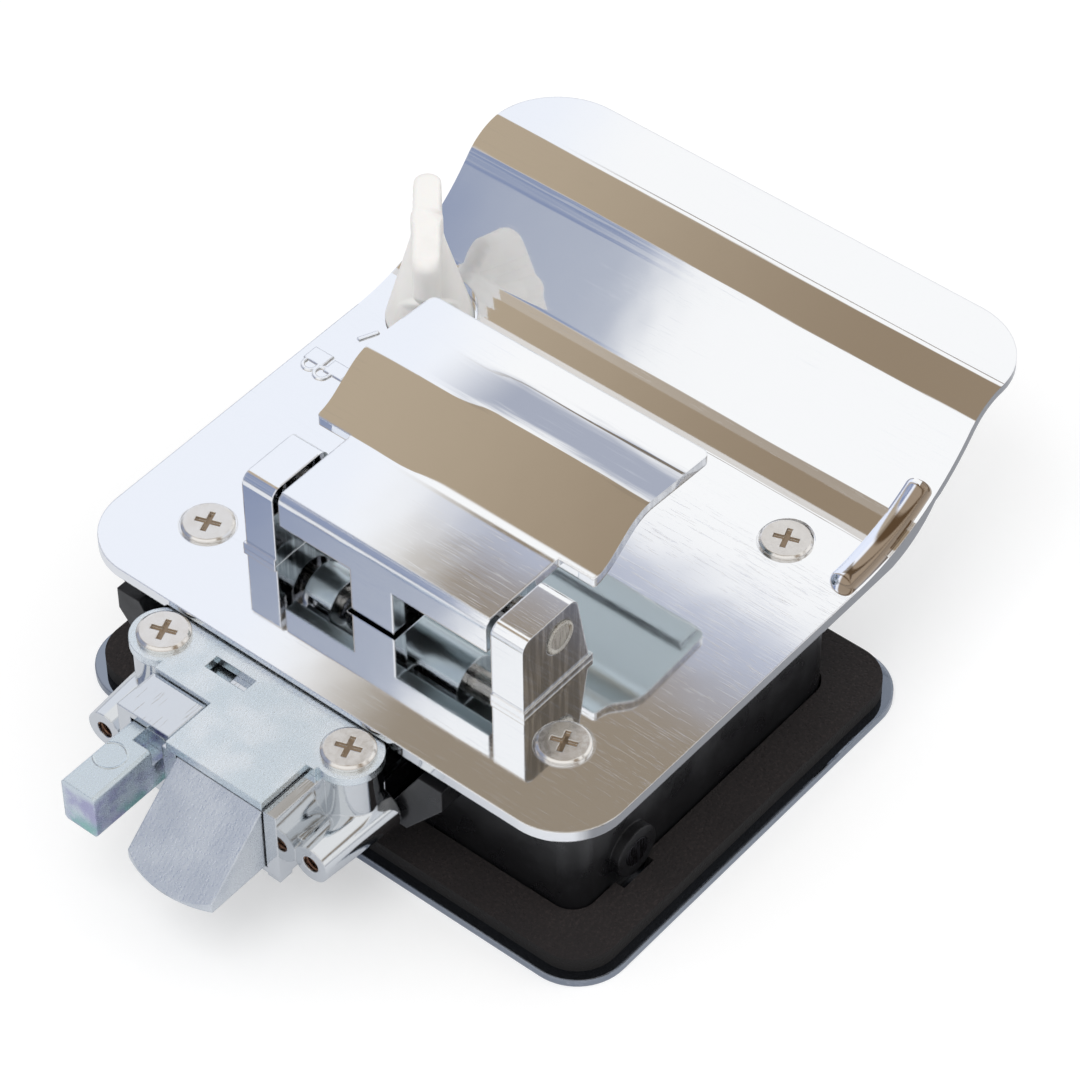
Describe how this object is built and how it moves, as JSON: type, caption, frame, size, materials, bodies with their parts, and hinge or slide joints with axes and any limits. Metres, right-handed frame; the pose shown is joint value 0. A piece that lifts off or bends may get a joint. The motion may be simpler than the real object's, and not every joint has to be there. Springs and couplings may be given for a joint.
{
  "type": "recreational vehicle door lock",
  "caption": "Flush mount door lock for a recreational vehicle: slam latch, deadbolt, inner paddle and thumb turn, outer pull handle and key cylinders.",
  "frame": {"origin": "centre of the door's cut-out, in the plane of the door's outer skin, where the gasket seats", "axes": "+Z towards the inside of the vehicle, +X from the door's latch edge towards its hinges, +Y from the slam latch towards the deadbolt"},
  "size_m": [0.1654, 0.1164, 0.0598],
  "materials": {
    "plate_chrome": "mirror chrome plate on a zinc casting, a few fine scratches",
    "paddle_chrome": "mirror chrome plate on a zinc casting",
    "flange_chrome": "polished chrome plate",
    "handle_chrome": "polished chrome plate",
    "case_chrome": "bright plated case",
    "cover_zinc": "pale zinc plate with a fine grain",
    "latch_zinc": "zinc casting, bluish bright plate with a fine grain",
    "bolt_zinc": "zinc casting, bluish bright plate",
    "lever_zinc": "zinc plated steel",
    "screw_nickel": "nickel plated, a warm tint",
    "pin_steel": "bright drawn steel",
    "spring_steel": "drawn spring wire",
    "cylinder_chrome": "chrome plate",
    "plug_nickel": "satin nickel plate",
    "housing_plastic": "black moulded plastic, satin",
    "gasket_rubber": "dark foam rubber, open grain",
    "knob_plastic": "warm white moulded plastic"
  },
  "bodies": {
    "base": {"outer_flange": "flange_chrome", "gasket": "gasket_rubber", "housing": "housing_plastic", "frame_screws": "screw_nickel", "inner_plate": "plate_chrome", "plate_screws": "screw_nickel", "latch_case": "case_chrome", "case_screws": "screw_nickel", "latch_cover": "cover_zinc", "cover_screws": "screw_nickel", "paddle_pin": "pin_steel", "paddle_spring": "spring_steel", "handle_pin": "pin_steel", "handle_pin_clip": "spring_steel", "handle_spring": "spring_steel", "latch_spring": "spring_steel", "deadbolt_cylinder": "cylinder_chrome", "deadbolt_nut": "screw_nickel", "handle_cylinder": "cylinder_chrome", "handle_nut": "screw_nickel"},
    "paddle": {"inner_paddle": "paddle_chrome"},
    "pull_handle": {"outer_handle": "handle_chrome"},
    "latch": {"slam_latch": "latch_zinc", "retractor": "lever_zinc", "retractor_rivets": "pin_steel"},
    "bolt": {"deadbolt": "bolt_zinc", "deadbolt_link": "lever_zinc", "link_rivet": "pin_steel"},
    "turn_knob": {"knob": "knob_plastic", "knob_crank": "lever_zinc", "crank_screw": "screw_nickel"},
    "bolt_key": {"deadbolt_plug": "plug_nickel", "deadbolt_cam": "lever_zinc", "deadbolt_cam_screw": "screw_nickel"},
    "handle_key": {"handle_plug": "plug_nickel", "handle_cam": "lever_zinc", "handle_cam_screw": "screw_nickel"}
  },
  "joints": [
    {"name": "latch_slide", "type": "slide", "parent": "base", "child": "latch", "axis": [1, 0, 0], "range_m": [0, 0.014], "stiffness_N_per_m": 300, "springref_m": -0.012, "deforming": ["latch_spring"]},
    {"name": "paddle_hinge", "type": "hinge", "parent": "base", "child": "paddle", "pos_m": [-0.0183, 0, 0.043], "axis": [0, -1, 0], "range_deg": [0, 30], "deforming": ["paddle_spring"]},
    {"name": "handle_hinge", "type": "hinge", "parent": "base", "child": "pull_handle", "pos_m": [-0.021, 0, 0.0055], "axis": [0, 1, 0], "range_deg": [0, 39.9], "deforming": ["handle_spring"]},
    {"name": "bolt_slide", "type": "slide", "parent": "base", "child": "bolt", "axis": [1, 0, 0], "range_m": [0, 0.014]},
    {"name": "knob_turn", "type": "hinge", "parent": "base", "child": "turn_knob", "pos_m": [0.0352, 0.0436, 0.032], "axis": [0, 0, 1], "range_deg": [0, 72.1]},
    {"name": "bolt_key_turn", "type": "hinge", "parent": "base", "child": "bolt_key", "pos_m": [-0.009, 0.03503, 0], "axis": [0, 0, 1], "range_deg": [0, 72.1]},
    {"name": "handle_key_turn", "type": "hinge", "parent": "base", "child": "handle_key", "pos_m": [0.01, 0.0175, 0], "axis": [0, 0, 1], "range_deg": [-90, 0]}
  ],
  "couplings": [
    {"joint": "paddle_hinge", "follows": "latch_slide", "rad_per_m": 37.39},
    {"joint": "handle_hinge", "follows": "latch_slide", "rad_per_m": 49.7},
    {"joint": "knob_turn", "follows": "bolt_slide", "rad_per_m": 89.83},
    {"joint": "bolt_key_turn", "follows": "bolt_slide", "rad_per_m": 89.83}
  ]
}
